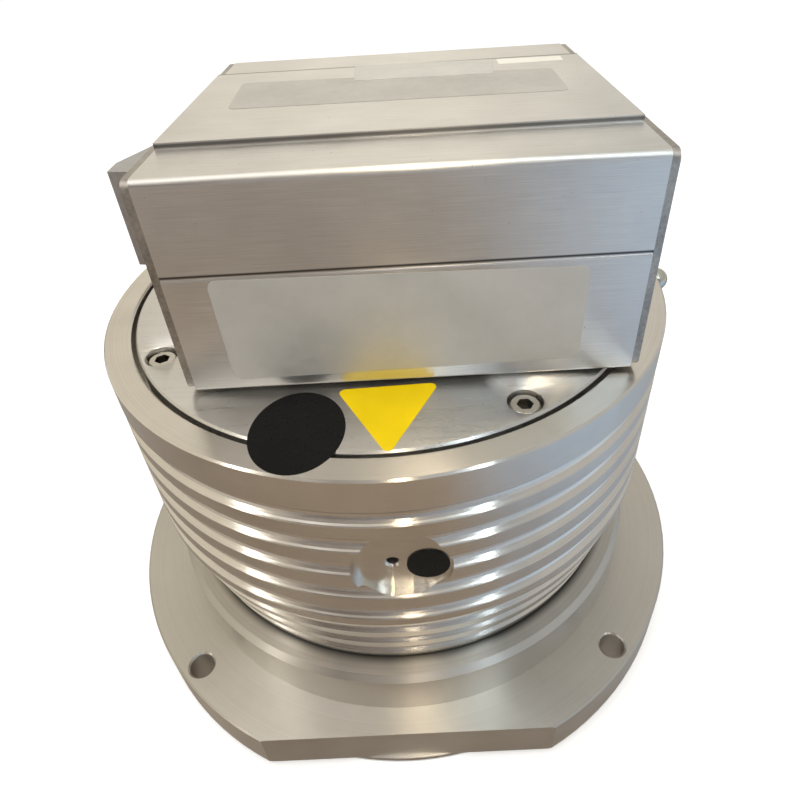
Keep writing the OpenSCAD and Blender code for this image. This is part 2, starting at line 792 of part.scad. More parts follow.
module outer_race(z) {
    color("lightsteelblue")
    rotate_extrude() difference() {
        translate([bearing_r - race_t, z]) square([race_t, bearing_w]);
        translate([ball_circle_r, z + bearing_w / 2]) circle(r = ball_d / 2 + race_gap, $fn = 48);
    }
}

module inner_race(z) {
    color("lightsteelblue")
    rotate_extrude() difference() {
        translate([journal_r, z]) square([race_t, bearing_w]);
        translate([ball_circle_r, z + bearing_w / 2]) circle(r = ball_d / 2 + race_gap, $fn = 48);
    }
}

module outer_race_lower() { outer_race(lower_bearing_z); }
module outer_race_upper() { outer_race(upper_bearing_z); }
module inner_race_lower() { inner_race(lower_bearing_z); }
module inner_race_upper() { inner_race(upper_bearing_z); }

// Rubber rings that let the rotor find its own axis
module damper_rings() {
    ring_h = bearing_w * 0.3;
    color("dimgray")
    for (z = [lower_bearing_z, upper_bearing_z])
        for (lift = [0.1 * bearing_w, 0.6 * bearing_w])
            ring(seat_r - eps, bearing_r + eps, ring_h, z + lift);
}

// Wedge from the axis along +X, open by an angle to each side
module wedge(half_angle) {
    polygon([[0, 0], [motor_r, -motor_r * tan(half_angle)], [motor_r, motor_r * tan(half_angle)]]);
}

module motor_laminations() {
    slot_r = lamination_in_r + 2;
    yoke_r = motor_in_r - 4;
    color("slategray")
    difference() {
        ring(motor_in_r - stack_gap, lamination_in_r, lamination_h, lamination_z);
        around(tooth_count) translate([0, 0, lamination_z - 1]) linear_extrude(lamination_h + 2)
            difference() {
                intersection() {
                    wedge(180 / tooth_count - 9);
                    circle(r = yoke_r);
                }
                circle(r = slot_r);
            }
        around(tooth_count) translate([lamination_in_r - 1, -1, lamination_z - 1])
            cube([4, 2, lamination_h + 2]);
    }
}

// Coil ends that stand out of the slots
module motor_windings() {
    coil_gap = 1.2;
    color("chocolate")
    for (z = [lamination_z - winding_h, lamination_z + lamination_h])
        around(tooth_count, 180 / tooth_count) intersection() {
            ring(motor_in_r - 4.2, lamination_in_r + 2.3, winding_h, z);
            translate([0, 0, z]) linear_extrude(winding_h) wedge(180 / tooth_count - coil_gap);
        }
}

// ---------- feedthrough ----------

feed_screw_r = 14.4;
feed_screw_d = 2.5;

module feedthrough() {
    color("silver")
    difference() {
        union() {
            translate([0, 0, ring_top]) cylinder(r = feed_r, h = feed_t, $fn = 64);
            translate([0, 0, ledge_z + 1]) cylinder(r = feed_hole_r - 0.1, h = cover_t - 1 + eps, $fn = 64);
        }
        around(pin_count) translate([pin_circle_r, 0, ledge_z])
            cylinder(d = pin_d, h = cover_t + feed_t + 1, $fn = 24);
        around(4, 45) translate([feed_screw_r, 0, ring_top - 1])
            cylinder(d = feed_screw_d * 1.1, h = feed_t + 2, $fn = 24);
    }
}

module feedthrough_seal() {
    color("dimgray") cord_ring(feed_seal_r, feed_seal_t, ring_top - feed_seal_t / 2);
}

module feedthrough_pins() {
    color("gold")
    around(pin_count) translate([pin_circle_r, 0, ledge_z + 0.4])
        cylinder(d = pin_d, h = pin_top - ledge_z - 0.4, $fn = 24);
}

// ---------- rotor ----------

bolt_d = 8;
bolt_seat_z = first_row_z + 4;
hub_z = first_row_z - 2;
shaft_z = bolt_seat_z + 3;

// One-piece rotor: a bell with rows of angled blades and a web that carries the drag sleeve
module turbine_rotor() {
    color("lightgray")
    union() {
        rotate_extrude() polygon([
            [bolt_d / 2 + 0.3, bolt_seat_z], [bolt_d * 1.6, bolt_seat_z], [bolt_d * 1.6, hub_z],
            [hub_r - 3, hub_z], [hub_r, hub_z + 2], [hub_r, web_z], [sleeve_r, web_z],
            [sleeve_r, drag_z], [sleeve_in_r, drag_z], [sleeve_in_r, drag_z + spigot_h],
            [sleeve_in_r - spigot_t, drag_z + spigot_h], [sleeve_in_r - spigot_t, drag_z], [bell_r, drag_z],
            [bell_r, bell_floor], [shaft_r, bell_floor], [shaft_r, shaft_z],
            [bolt_d / 2 + 0.3, shaft_z]
        ]);
        for (i = [0 : rotor_rows - 1])
            blade_row(hub_r - 1, tip_r, rotor_row_h, rotor_blades, row_angle(i), rotor_z(i), 1);
    }
}

module shaft() {
    thread_depth = 16;
    color("gray")
    difference() {
        rotate_extrude() polygon([
            [0, shaft_z], [shaft_r - edge, shaft_z], [shaft_r, shaft_z + edge], [shaft_r, bell_floor],
            [shaft_r + 4.5, bell_floor], [shaft_r + 4.5, motor_z + 1], [journal_r + 2, motor_z + 1],
            [journal_r + 2, lower_bearing_z], [journal_r, lower_bearing_z],
            [journal_r, lower_bearing_z + bearing_w], [shaft_r - 1, lower_bearing_z + bearing_w],
            [shaft_r, lower_bearing_z + bearing_w + 1], [shaft_r, upper_bearing_z - 1],
            [journal_r + 2, upper_bearing_z], [journal_r, upper_bearing_z],
            [journal_r, upper_bearing_z + bearing_w + 1], [journal_r - 1, upper_bearing_z + bearing_w + 2],
            [0, upper_bearing_z + bearing_w + 2]
        ]);
        translate([0, 0, shaft_z - 1]) cylinder(d = bolt_d, h = thread_depth + 1, $fn = 32);
    }
}

module rotor_bolt() {
    washer_t = 2;
    color("dimgray") {
        ring(bolt_d * 1.5, bolt_d / 2 + 0.2, washer_t, bolt_seat_z - washer_t);
        translate([0, 0, bolt_seat_z - washer_t]) mirror([0, 0, 1]) translate([0, 0, bolt_d * 0.5])
            difference() {
                union() {
                    translate([0, 0, -bolt_d * 0.5]) cylinder(d = bolt_d * 1.6, h = bolt_d * 0.5);
                    translate([0, 0, -bolt_d * 0.5 - 18]) cylinder(d = bolt_d, h = 18 + eps, $fn = 32);
                }
                translate([0, 0, -bolt_d * 0.3]) cylinder(d = bolt_d * 0.8, h = bolt_d, $fn = 6);
            }
    }
}

module balance_ring() {
    color("darkgray")
    difference() {
        ring(sleeve_in_r - spigot_t - 0.02, sleeve_in_r - spigot_t - 8, 2.5, drag_z);
        around(12) translate([sleeve_in_r - spigot_t - 4, 0, drag_z - 1]) cylinder(d = 3, h = 5, $fn = 24);
    }
}

module drag_sleeve() {
    color([0.12, 0.12, 0.13]) ring(sleeve_r, sleeve_in_r + eps, drag_h - 1, drag_z);
}

module motor_magnet() {
    color("dimgray") ring(magnet_r, shaft_r + eps, lamination_h, lamination_z);
}

// Cage with its balls
module bearing_cage(z) {
    mid = z + bearing_w / 2;
    cage_h = ball_d * 1.15;
    cage_t = ball_d * 0.32;
    color("wheat")
    difference() {
        ring(ball_circle_r + cage_t / 2, ball_circle_r - cage_t / 2, cage_h, mid - cage_h / 2);
        around(ball_count) translate([ball_circle_r, 0, mid]) sphere(d = ball_d + 0.2, $fn = 48);
    }
    color("white") around(ball_count) translate([ball_circle_r, 0, mid]) sphere(d = ball_d, $fn = 48);
}

module bearing_cage_lower() { bearing_cage(lower_bearing_z); }
module bearing_cage_upper() { bearing_cage(upper_bearing_z); }

// ---------- drive box ----------

seam_edge = 0.25;
port_rim = 3.1;
rib_gap = 0.02;

// Extrudes a section drawn in Y and Z along X
module along_x(x0, length) {
    translate([x0, 0, 0]) rotate([90, 0, 90]) linear_extrude(length) children();
}

// Screw channels of the shells, as section
module screw_ports(z) {
    for (y = [box_y - plate_screw_y, box_y + plate_screw_y])
        translate([y, z]) children();
}

module lower_section() {
    difference() {
        union() {
            rounded_rect(box_y0, box_z, box_y1, seam_z - seam_edge, 1.2);
            translate([box_y0 + seam_edge, seam_z - 3]) square([box_w - 2 * seam_edge, 3]);
        }
        difference() {
            translate([box_y0 + shell_wall, box_z + shell_wall])
                square([box_w - 2 * shell_wall, box_low_h]);
            screw_ports(box_z + plate_screw_z) circle(r = port_rim, $fn = 32);
        }
        screw_ports(box_z + plate_screw_z) circle(d = plate_screw_d, $fn = 24);
    }
}

module drive_lower_shell() {
    color("silver")
    difference() {
        along_x(box_x0, box_l) lower_section();
        translate([0, 0, box_z - 1]) cylinder(r = feed_r + 1.5, h = shell_wall + 2, $fn = 64);
        drive_screw_places() translate([0, 0, box_z - 1])
            cylinder(d = drive_screw_d * 1.1, h = shell_wall + 2, $fn = 32);
    }
}

module upper_section() {
    top_port_z = strip_z - plate_screw_z;
    panel_w = box_w - strip_w - strip_rear_w;
    difference() {
        union() {
            rounded_rect(box_y0, seam_z + seam_edge, box_y1, strip_z, box_round);
            translate([box_y0, seam_z + seam_edge]) square([box_w, 4]);
            translate([box_y0 + seam_edge, seam_z]) square([box_w - 2 * seam_edge, 3]);
            translate([box_y0 + strip_w, strip_z - 2]) square([panel_w, panel_h + 2]);
        }
        difference() {
            translate([box_y0 + shell_wall, seam_z - 1])
                square([box_w - 2 * shell_wall, box_high_h - shell_wall + 1]);
            screw_ports(top_port_z) circle(r = port_rim, $fn = 32);
        }
        screw_ports(top_port_z) circle(d = plate_screw_d, $fn = 24);
        // relief under the raised panel keeps its wall even
        translate([box_y0 + strip_w + shell_wall, strip_z - shell_wall - 1])
            square([panel_w - 2 * shell_wall, panel_h + 1]);
    }
}

module drive_upper_shell() {
    color("silver") along_x(box_x0, box_l) upper_section();
}

module plate_section() {
    rounded_rect(box_y0 + 0.1, box_z + plate_margin, box_y1 - 0.1, strip_z - 0.2, box_round + 0.5);
}

module plate_screw_holes() {
    for (z = [box_z + plate_screw_z, strip_z - plate_screw_z])
        screw_ports(z) circle(d = plate_screw_d * 1.1, $fn = 24);
}

module drive_right_plate() {
    color("gray") along_x(box_x1, plate_t) difference() {
        plate_section();
        plate_screw_holes();
    }
}

module drive_left_plate() {
    color("gray") along_x(box_x0 - plate_t, plate_t) difference() {
        plate_section();
        plate_screw_holes();
        translate([signal_y, signal_z]) dsub_outline(0.3);
        for (s = [-1, 1]) translate([signal_y + s * dsub_screw_y, signal_z]) circle(d = 3.2, $fn = 24);
    }
}

module drive_plate_screws() {
    color("lightgray")
    for (z = [box_z + plate_screw_z, strip_z - plate_screw_z]) for (s = [-1, 1]) for (end = [-1, 1])
        translate([box_x + end * (box_l / 2 + plate_t), box_y + s * plate_screw_y, z])
            rotate([0, end * 90, 0]) pan_screw(plate_screw_d, 10);
}

module drive_spacers() {
    color("gray") drive_screw_places() ring(4.5, drive_screw_d * 0.55, box_gap, ring_top);
}

module drive_screws() {
    color("gray") drive_screw_places() translate([0, 0, box_z + shell_wall + drive_screw_d])
        cap_screw(drive_screw_d, shell_wall + box_gap + drive_thread - 1);
}

board_lift = 8;
board_t = 1.6;
board_z = box_z + shell_wall + board_lift;
board_margin = 6;
standoff_x = [box_x0 + 12, box_x1 - 12];
standoff_y = [box_y0 + 21, box_y1 - 21];

module standoff_places() {
    for (x = standoff_x) for (y = standoff_y) translate([x, y, 0]) children();
}

module drive_board() {
    color("darkgreen")
    difference() {
        translate([box_x0 + board_margin, box_y0 + board_margin, board_z])
            cube([box_l - 2 * board_margin, box_w - 2 * board_margin, board_t]);
        standoff_places() translate([0, 0, board_z - 1]) cylinder(d = 3.2, h = board_t + 2, $fn = 24);
        drive_screw_places() translate([0, 0, board_z - 1]) cylinder(d = 9, h = board_t + 2, $fn = 32);
    }
}

// Posts under the board with their screws
module board_standoffs() {
    color("goldenrod")
    standoff_places() {
        translate([0, 0, box_z + shell_wall]) cylinder(d = 6, h = board_lift, $fn = 6);
        translate([0, 0, board_z + board_t]) cylinder(d = 5.4, h = 2, $fn = 32);
        translate([0, 0, board_z - eps]) cylinder(d = 3, h = board_t + 0.1, $fn = 24);
    }
}

// Capacitors, chokes and power transistors on the board
module drive_components() {
    top = board_z + board_t;
    edge_row = 23;
    can_pitch = 17;
    can_h = 26;
    choke_pitch = 32;
    choke_wire_r = 4.5;
    bridge_l = 84;
    bridge_h = 22;
    transistor_pitch = 14;
    bridge_x = box_x - bridge_l / 2 - 2;
    bridge_y = box_y + 15;
    color("navy")
    for (i = [-1.5 : 1 : 1.5]) translate([box_x + i * can_pitch, box_y1 - edge_row, top])
        cylinder(d = 15, h = can_h, $fn = 48);
    color("darkorange")
    for (s = [-1, 1]) translate([box_x + s * choke_pitch / 2, box_y0 + edge_row, top + choke_wire_r])
        rotate_extrude() translate([8, 0]) circle(r = choke_wire_r, $fn = 32);
    color("darkslategray")
    for (i = [0 : 5]) translate([bridge_x + 4 + i * transistor_pitch, bridge_y - 5, top]) cube([8, 5, 16]);
    color("black") translate([box_x + 18, box_y - 20, top]) cube([18, 18, 2]);
    color("silver") translate([bridge_x, bridge_y, top]) cube([bridge_l, 5, bridge_h]);
}

// Socket that joins the feedthrough's pins to the board
module drive_plug() {
    plug_z = ring_top + feed_t;
    color([0.1, 0.1, 0.1])
    difference() {
        translate([0, 0, plug_z]) cylinder(r = 10, h = board_z - plug_z, $fn = 64);
        around(pin_count) translate([pin_circle_r, 0, plug_z - 1])
            cylinder(d = pin_d, h = pin_top - plug_z + 1.2, $fn = 24);
    }
}

// ---------- connectors on the left end ----------

signal_y = box_y + 14;
signal_z = seam_z + 2;
dsub_screw_y = 16.7;

// Outline of the connector shell, grown by a margin
module dsub_outline(grow) {
    half = 12.6 + grow;
    tall = 5.5 + grow;
    difference() {
        rounded_rect(-half, -tall, half, tall, 2.5);
        for (s = [-1, 1]) translate([s * half, -tall]) rotate([0, 0, s * 10])
            translate([s > 0 ? -0.2 : -3.8, -1]) square([4, 2 * tall + 3]);
    }
}

module signal_connector() {
    reach = 6;
    rim = 0.8;
    face_x = box_x0 - plate_t - reach;
    color("silver")
    difference() {
        along_x(face_x, reach + plate_t + 8) translate([signal_y, signal_z]) dsub_outline(0);
        // the rim stands proud of the insert, which carries two rows of contacts
        along_x(face_x - 1, 1 + rim) translate([signal_y, signal_z]) dsub_outline(-0.6);
        along_x(face_x - 1, reach) translate([signal_y, signal_z])
            for (row = [0, 1]) for (i = [0 : 7 - row])
                translate([(i - (7 - row) / 2) * 2.5, 1.4 - 2.8 * row]) circle(d = 1.1, $fn = 16);
    }
    color("silver")
    for (s = [-1, 1]) translate([box_x0 - plate_t, signal_y + s * dsub_screw_y, signal_z])
        rotate([0, -90, 0]) {
            cylinder(d = 5.5, h = 5, $fn = 6);
            translate([0, 0, -6]) cylinder(d = 3, h = 6 + eps, $fn = 24);
        }
}

// Slanted power socket block near the front of the left end
module connector_block() {
    reach = 6;
    front_inset = 8.5;
    front = box_y0 + front_inset;
    top = strip_z - 0.8;
    low = seam_z - 0.5;
    x = box_x0 - plate_t;
    color("gray")
    difference() {
        translate([0, 0, low]) linear_extrude(top - low)
            polygon([[x, front], [x - reach, front + 1], [x - reach, front + 7], [x, front + 21]]);
        // screw hole, and the way in to the end plate's screw behind the block
        translate([x - reach - 1, front + 4, low + 6]) rotate([0, 90, 0])
            cylinder(d = 3, h = reach, $fn = 24);
        translate([x - reach - 1, box_y - plate_screw_y, strip_z - plate_screw_z]) rotate([0, 90, 0])
            cylinder(d = 2 * plate_screw_d + 0.6, h = reach + 2, $fn = 32);
    }
}

main_housing();
centring_ring();
inlet_seal();
inlet_screen();
spacer_ring_1();
spacer_ring_2();
spacer_ring_3();
spacer_ring_4();
spacer_ring_5();
spacer_ring_6();
stator_disc_1();
stator_disc_2();
stator_disc_3();
stator_disc_4();
stator_disc_5();
drag_stator();
outlet_ring();
base_cover();
cover_seal();
cover_screws();
vent_cap();
earth_screw();
foreline_port();
foreline_seal();
foreline_screws();
motor_housing();
motor_housing_screws();
bearing_carrier();
preload_spring();
outer_race_lower();
outer_race_upper();
damper_rings();
motor_laminations();
motor_windings();
feedthrough();
feedthrough_seal();
feedthrough_pins();
turbine_rotor();
shaft();
rotor_bolt();
balance_ring();
drag_sleeve();
motor_magnet();
inner_race_lower();
inner_race_upper();
bearing_cage_lower();
bearing_cage_upper();
drive_lower_shell();
drive_upper_shell();
drive_left_plate();
drive_right_plate();
drive_plate_screws();
drive_spacers();
drive_screws();
drive_board();
drive_components();
drive_plug();
board_standoffs();
connector_block();
signal_connector();
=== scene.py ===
"""Turbomolecular pump: camera, finishes, blank films, floor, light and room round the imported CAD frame."""
import json
import math

import bpy
import bmesh
from mathutils import Matrix, Vector


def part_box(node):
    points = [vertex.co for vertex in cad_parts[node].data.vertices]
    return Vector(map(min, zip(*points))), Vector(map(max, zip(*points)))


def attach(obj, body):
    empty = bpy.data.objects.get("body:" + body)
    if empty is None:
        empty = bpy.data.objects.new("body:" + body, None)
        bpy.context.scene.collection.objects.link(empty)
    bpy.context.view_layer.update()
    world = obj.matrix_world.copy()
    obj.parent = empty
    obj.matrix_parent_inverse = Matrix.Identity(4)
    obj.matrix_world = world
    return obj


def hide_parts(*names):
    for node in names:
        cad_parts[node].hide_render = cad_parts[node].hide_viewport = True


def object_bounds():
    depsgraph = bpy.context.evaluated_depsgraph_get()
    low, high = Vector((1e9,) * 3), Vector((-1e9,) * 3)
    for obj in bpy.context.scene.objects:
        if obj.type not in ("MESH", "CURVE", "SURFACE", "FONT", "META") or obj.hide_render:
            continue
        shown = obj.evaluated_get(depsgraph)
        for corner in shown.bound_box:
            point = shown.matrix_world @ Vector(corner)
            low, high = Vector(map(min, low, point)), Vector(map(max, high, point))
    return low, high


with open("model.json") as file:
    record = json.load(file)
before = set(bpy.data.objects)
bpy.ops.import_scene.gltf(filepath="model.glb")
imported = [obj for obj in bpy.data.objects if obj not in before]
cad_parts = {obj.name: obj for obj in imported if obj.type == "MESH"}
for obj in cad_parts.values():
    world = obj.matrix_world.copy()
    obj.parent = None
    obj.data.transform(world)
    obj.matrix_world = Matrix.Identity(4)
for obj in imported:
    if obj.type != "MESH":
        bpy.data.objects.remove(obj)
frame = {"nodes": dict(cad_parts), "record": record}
cad_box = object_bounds()
NODES = frame["nodes"]
MM = 0.001
WHITE = (1, 1, 1)
UP = Vector((0, 0, 1))
FRONT = Vector((0, -1, 0))

# ---------- places on the pump, in metres ----------

FLOOR_Z = cad_box[0].z
PUMP_MIDDLE = Vector((0, 0, 0.1))
RING_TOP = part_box("main_housing")[1].z
SHOULDER_TOP = 0.036
FOOT_R = 0.0866
SHELL_LOW, SHELL_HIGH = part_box("drive_upper_shell")
BOX_FRONT = SHELL_LOW.y
SEAM_Z = SHELL_LOW.z
PANEL_Z = SHELL_HIGH.z
PANEL_REAR = SHELL_HIGH.y - 0.0284
SCREW_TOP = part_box("cover_screws")[1].z

# ---------- camera ----------

CAMERA_PLACE = (0.0112, -0.1953, 0.2432)
CAMERA_AZIMUTH = -0.89
CAMERA_DOWN = 37.12
CAMERA_ROLL = -3.66
CAMERA_LENS = 28.02
CAMERA_SENSOR = 36
CAMERA_SHIFT = (-0.0160, -0.0473)
CAMERA_CLIP = (0.005, 10)


def make_camera():
    """Hand-held view from the front, a little above the drive box."""
    turn, down, roll = (math.radians(v) for v in (CAMERA_AZIMUTH, CAMERA_DOWN, CAMERA_ROLL))
    ahead = Vector((math.sin(turn) * math.cos(down), math.cos(turn) * math.cos(down), -math.sin(down)))
    level = Vector((math.cos(turn), -math.sin(turn), 0))
    above = level.cross(ahead)
    right = level * math.cos(roll) + above * math.sin(roll)
    up = above * math.cos(roll) - level * math.sin(roll)
    data = bpy.data.cameras.new("camera")
    data.lens, data.sensor_width = CAMERA_LENS, CAMERA_SENSOR
    data.shift_x, data.shift_y = CAMERA_SHIFT
    data.clip_start, data.clip_end = CAMERA_CLIP
    camera = bpy.data.objects.new("camera", data)
    bpy.context.scene.collection.objects.link(camera)
    turned = Matrix((right, up, -ahead)).transposed().to_4x4()
    camera.matrix_world = Matrix.Translation(CAMERA_PLACE) @ turned
    bpy.context.scene.camera = camera


make_camera()


# ---------- shader helpers ----------

# sockets of the Mix node's colours
MIX_LOW, MIX_HIGH, MIX_RESULT = 6, 7, 2
# share of a reach round a middle that has the full effect
NEAR_CORE = 0.4


def add(tree, kind, values=(), **settings):
    """A new shader node with its settings, and its sockets set or linked."""
    made = tree.nodes.new("ShaderNode" + kind)
    for name, value in settings.items():
        setattr(made, name, value)
    for socket, value in values:
        if isinstance(value, bpy.types.NodeSocket):
            tree.links.new(value, made.inputs[socket])
        else:
            made.inputs[socket].default_value = value
    return made


def link(tree, output, node, socket):
    """Links an output to a node's socket."""
    tree.links.new(output, node.inputs[socket])


def split(tree, vector):
    """The three parts of a vector."""
    return add(tree, "SeparateXYZ", [(0, vector)]).outputs


def maths(tree, operation, *values):
    """Result of one Math node."""
    return add(tree, "Math", enumerate(values), operation=operation).outputs[0]


def product(tree, first, *others):
    """All the values multiplied."""
    for other in others:
        first = maths(tree, "MULTIPLY", first, other)
    return first


def blend(tree, first, second, share):
    """A share of the first value with the rest of the second."""
    return maths(tree, "ADD", product(tree, first, share), product(tree, second, 1 - share))


def mix_colour(tree, share, low, high):
    """Colour between low and high."""
    made = add(tree, "Mix", [(0, share)], data_type="RGBA")
    for socket, value in ((MIX_LOW, low), (MIX_HIGH, high)):
        if isinstance(value, bpy.types.NodeSocket):
            link(tree, value, made, socket)
        else:
            made.inputs[socket].default_value = (*value, 1)
    return made.outputs[MIX_RESULT]


def spread(tree, value, low, high, to_low=0.0, to_high=1.0):
    """Maps value from low..high to to_low..to_high and clamps it."""
    sockets = [("Value", value), ("From Min", low), ("From Max", high),
               ("To Min", to_low), ("To Max", to_high)]
    return add(tree, "MapRange", sockets).outputs[0]


def noise(tree, vector, scale, detail=2.0, rough=0.5):
    """Noise value about 0.5."""
    sockets = [("Vector", vector), ("Scale", scale), ("Detail", detail), ("Roughness", rough)]
    return add(tree, "TexNoise", sockets).outputs[0]


def stretched(tree, place, factors):
    """Place multiplied by a factor on each axis."""
    return add(tree, "VectorMath", [(0, place), (1, factors)], operation="MULTIPLY").outputs[0]


def near(tree, value, middle, reach):
    """1 at the middle value, falling to 0 at the reach."""
    distance = maths(tree, "ABSOLUTE", maths(tree, "SUBTRACT", value, middle))
    return spread(tree, distance, reach, reach * NEAR_CORE)


def darkened(tree, colour, share, depth):
    """Colour with a share of it darkened by a depth, used for painted shade in creases and for the darker
    satin metal.
    """
    keep = maths(tree, "SUBTRACT", 1.0, product(tree, share, depth))
    return add(tree, "VectorMath", [(0, colour), ("Scale", keep)], operation="SCALE").outputs[0]


def shade_creases(tree, colour, place, shaded_creases):
    """Colour with painted shade round each crease, given as (axis, place on it, reach, depth)."""
    parts = split(tree, place)
    for axis, middle, reach, depth in shaded_creases:
        # painted shade: darkens the colour round each crease
        colour = darkened(tree, colour, near(tree, parts[axis], middle, reach), depth)
    return colour


def bump(tree, shader, height, strength, distance):
    """Links a height to the shader's normal."""
    made = add(tree, "Bump", [("Strength", strength), ("Distance", distance), ("Height", height)])
    link(tree, made.outputs[0], shader, "Normal")


def start(name, colour, metallic, roughness, **sockets):
    """A material with a shader, and the place on the object in metres."""
    made = bpy.data.materials.new(name)
    made.use_nodes = True
    tree = made.node_tree
    shader = tree.nodes["Principled BSDF"]
    shader.inputs["Base Color"].default_value = (*colour, 1)
    shader.inputs["Metallic"].default_value = metallic
    shader.inputs["Roughness"].default_value = roughness
    for socket, value in sockets.items():
        shader.inputs[socket.replace("_", " ").title()].default_value = value
    place = add(tree, "TexCoord").outputs["Object"]
    return made, tree, shader, place


# ---------- metals and plastics ----------

# noise values between which tone and roughness change in full
TONE = (0.35, 0.65)
SKIN_TONE = (0.3, 0.7)
# how far the roughness varies round its middle value
ROUGH_SPAN = (0.85, 1.15)
MOTTLED_ROUGH_SPAN = (0.85, 1.2)
# quarter turn of the highlight, so that it spreads across the grain
ACROSS_GRAIN = 0.25
TURNED_STRETCH, BRUSHED_STRETCH = 0.86, 0.7

# noise as (scale, detail, roughness), with lines and bands at their own scales
LINE_DETAIL = (3.0, 0.7)
BANDS_PER_LINE = 1 / 9
TURNED_STAINS = (38.0, 4.0, 0.6)
GRAIN = (1.0, 3.0, 0.65)
BRUSHED_STAINS = (45.0, 4.0, 0.6)
PITS = (900.0, 2.0)
PIT_LIMITS = (0.72, 0.80)
PIT_TONE = 0.45
FINE_MOTTLE = (900.0, 3.0, 0.6)
WIDE_MOTTLE = (90.0, 3.0, 0.6)
SKIN_DETAIL = 2.0
SKIN_CLOUD = (70.0, 3.0)

# painted shade in the crease where the ribs' foot meets the ledge, and the satin metal below it
CREASE_TOP, CREASE_BOTTOM = 3.0 * MM, 0.8 * MM
CREASE_WIDTH = 3.2 * MM
CREASE_REACH = 4 * MM
CREASE_SHADE_DEPTH = 0.85
SATIN_EDGE = 0.5 * MM
SATIN_DEPTH = 0.16
SATIN_FADE = 2 * MM


def toned(tree, tone, colour, darker, lighter):
    """Colour times darker to lighter, as the tone goes."""
    low = tuple(c * darker for c in colour)
    high = tuple(min(1.0, c * lighter) for c in colour)
    return mix_colour(tree, spread(tree, tone, *TONE), low, high)


def varied(tree, tone, roughness, limits=TONE, span=ROUGH_SPAN):
    """Roughness that varies with the tone."""
    return spread(tree, tone, *limits, roughness * span[0], roughness * span[1])


def foot_shaded(tree, face, radius, height, top):
    """Colour with painted shade in the crease at the ribs' foot, and a little darker below a height."""
    foot = spread(tree, height, top + CREASE_TOP, top + CREASE_BOTTOM)
    beside = spread(tree, radius, FOOT_R + CREASE_WIDTH, FOOT_R)
    # painted shade: darkens the crease where the ribs' foot meets the ledge
    crease_shade = product(tree, foot, beside, near(tree, height, top, CREASE_REACH))
    face = darkened(tree, face, crease_shade, CREASE_SHADE_DEPTH)
    return darkened(tree, face, spread(tree, height, top + SATIN_EDGE, top), SATIN_DEPTH)


def turned_metal(name, colour, roughness=0.3, satin=None, line_scale=2600.0, line_depth=0.00002):
    """Turned metal: fine rings, highlights across them, stains. Satin is (a height, roughness below it)."""
    made, tree, shader, place = start(name, colour, 1.0, roughness, anisotropic=TURNED_STRETCH,
                                      anisotropic_rotation=ACROSS_GRAIN)
    tangent = add(tree, "Tangent", direction_type="RADIAL", axis="Z").outputs[0]
    link(tree, tangent, shader, "Tangent")
    flat = stretched(tree, place, (1, 1, 0))
    radius = add(tree, "VectorMath", [(0, flat)], operation="LENGTH").outputs["Value"]
    height = split(tree, place)[2]
    ring_place = add(tree, "CombineXYZ", [(0, radius), (1, height), (2, 0.0)]).outputs[0]
    lines = noise(tree, ring_place, line_scale, *LINE_DETAIL)
    bands = noise(tree, ring_place, line_scale * BANDS_PER_LINE, 1.0)
    cloud = noise(tree, place, *TURNED_STAINS)
    tone = blend(tree, lines, cloud, 0.5)
    face = toned(tree, tone, colour, 0.9, 1.06)
    smooth = varied(tree, tone, roughness)
    if satin:
        satin_top, satin_rough = satin
        # painted shade in the crease at the ribs' foot, and a darker tone below the shoulder
        face = foot_shaded(tree, face, radius, height, satin_top)
        share = spread(tree, height, satin_top, satin_top + SATIN_FADE)
        dull = product(tree, smooth, satin_rough / roughness)
        gap = maths(tree, "SUBTRACT", smooth, dull)
        smooth = maths(tree, "ADD", dull, product(tree, gap, share))
    link(tree, face, shader, "Base Color")
    link(tree, smooth, shader, "Roughness")
    bump(tree, shader, maths(tree, "ADD", lines, product(tree, bands, 0.5)), 0.12, line_depth)
    return made


def brushed_metal(name, colour, roughness=0.34, stretch=(60.0, 4200.0, 4200.0), depth=0.00001, contrast=0.1,
                  shaded_creases=()):
    """Metal brushed along X, with pits and painted shade in creases; highlights spread across the grain."""
    made, tree, shader, place = start(name, colour, 1.0, roughness, anisotropic=BRUSHED_STRETCH,
                                      anisotropic_rotation=ACROSS_GRAIN)
    tangent = add(tree, "CombineXYZ", [(0, 1.0)]).outputs[0]
    link(tree, tangent, shader, "Tangent")
    grain = noise(tree, stretched(tree, place, stretch), *GRAIN)
    cloud = noise(tree, place, *BRUSHED_STAINS)
    pits = spread(tree, noise(tree, place, *PITS), *PIT_LIMITS)
    tone = blend(tree, grain, cloud, 0.65)
    face = toned(tree, tone, colour, 1 - contrast, 1 + contrast)
    face = mix_colour(tree, pits, face, tuple(c * PIT_TONE for c in colour))
    # painted shade in the creases given, over the brushed colour
    link(tree, shade_creases(tree, face, place, shaded_creases), shader, "Base Color")
    link(tree, varied(tree, tone, roughness), shader, "Roughness")
    bump(tree, shader, grain, 0.3, depth)
    return made


def plain_metal(name, colour, roughness=0.3, mottle=0.12, shaded_creases=()):
    """Blasted, plated or ground metal with a faint mottle and painted shade in creases."""
    made, tree, shader, place = start(name, colour, 1.0, roughness)
    fine = noise(tree, place, *FINE_MOTTLE)
    cloud = noise(tree, place, *WIDE_MOTTLE)
    tone = blend(tree, fine, cloud, 0.5)
    face = toned(tree, tone, colour, 1 - mottle, 1 + mottle)
    # painted shade in the creases given, over the mottled colour
    link(tree, shade_creases(tree, face, place, shaded_creases), shader, "Base Color")
    link(tree, varied(tree, tone, roughness, span=MOTTLED_ROUGH_SPAN), shader, "Roughness")
    bump(tree, shader, fine, 0.25, 0.00001)
    return made


